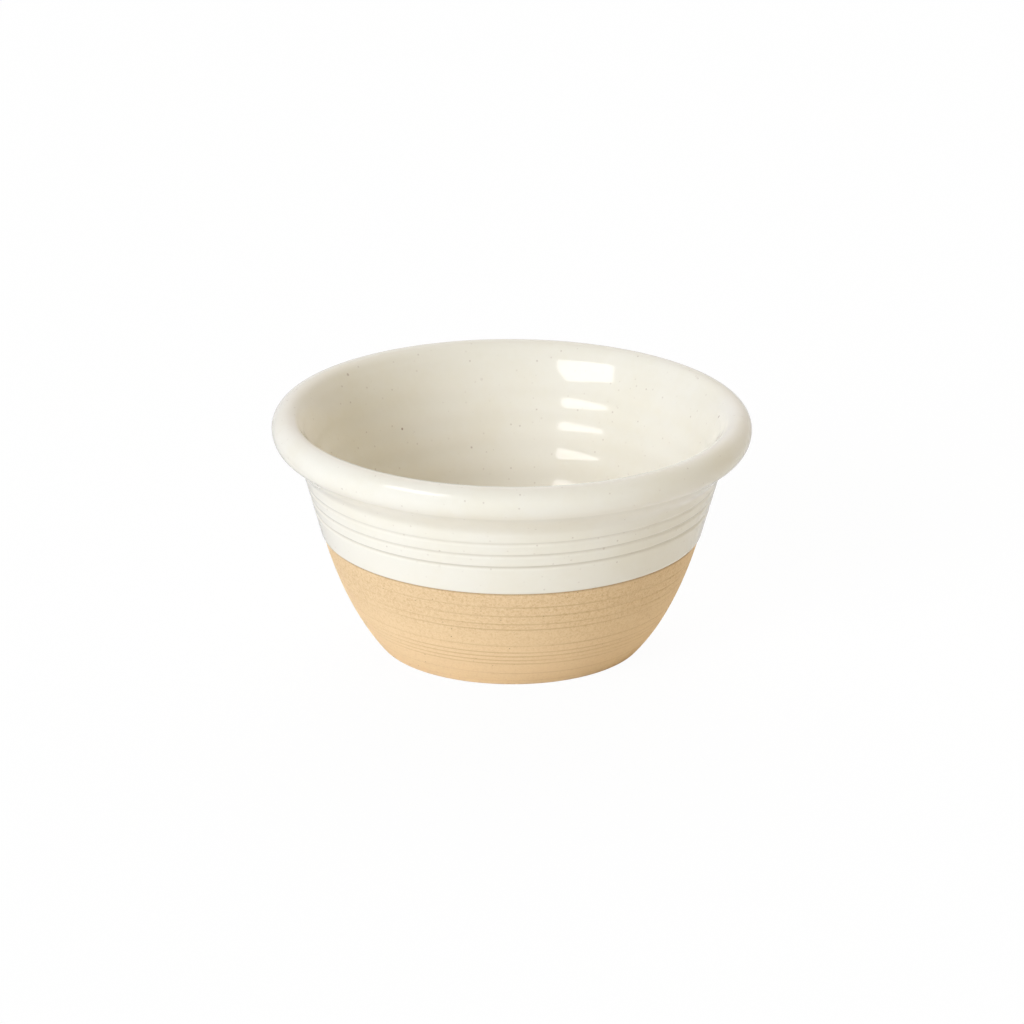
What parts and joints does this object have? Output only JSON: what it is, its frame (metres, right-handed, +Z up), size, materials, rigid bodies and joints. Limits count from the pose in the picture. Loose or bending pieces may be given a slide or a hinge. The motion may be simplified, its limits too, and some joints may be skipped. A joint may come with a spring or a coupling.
{
  "type": "prep bowl",
  "caption": "Round stoneware prep bowl with a rolled rim and turned rings below it, glazed inside and over the rim, with a raw clay lower body on a flat foot ring.",
  "frame": {"origin": "centre of the circle that the foot ring stands on", "axes": "+Z up along the axis of the bowl, towards its mouth; the bowl is the same all the way round, so X and Y are free"},
  "size_m": [0.15, 0.15, 0.0754],
  "materials": {
    "raw_clay": "matt, fine sandy grain, unglazed",
    "cream_glaze": "gloss cream glaze with sparse iron specks"
  },
  "bodies": {
    "root": {"stoneware_body": "raw_clay", "glaze_coat": "cream_glaze"}
  },
  "joints": []
}
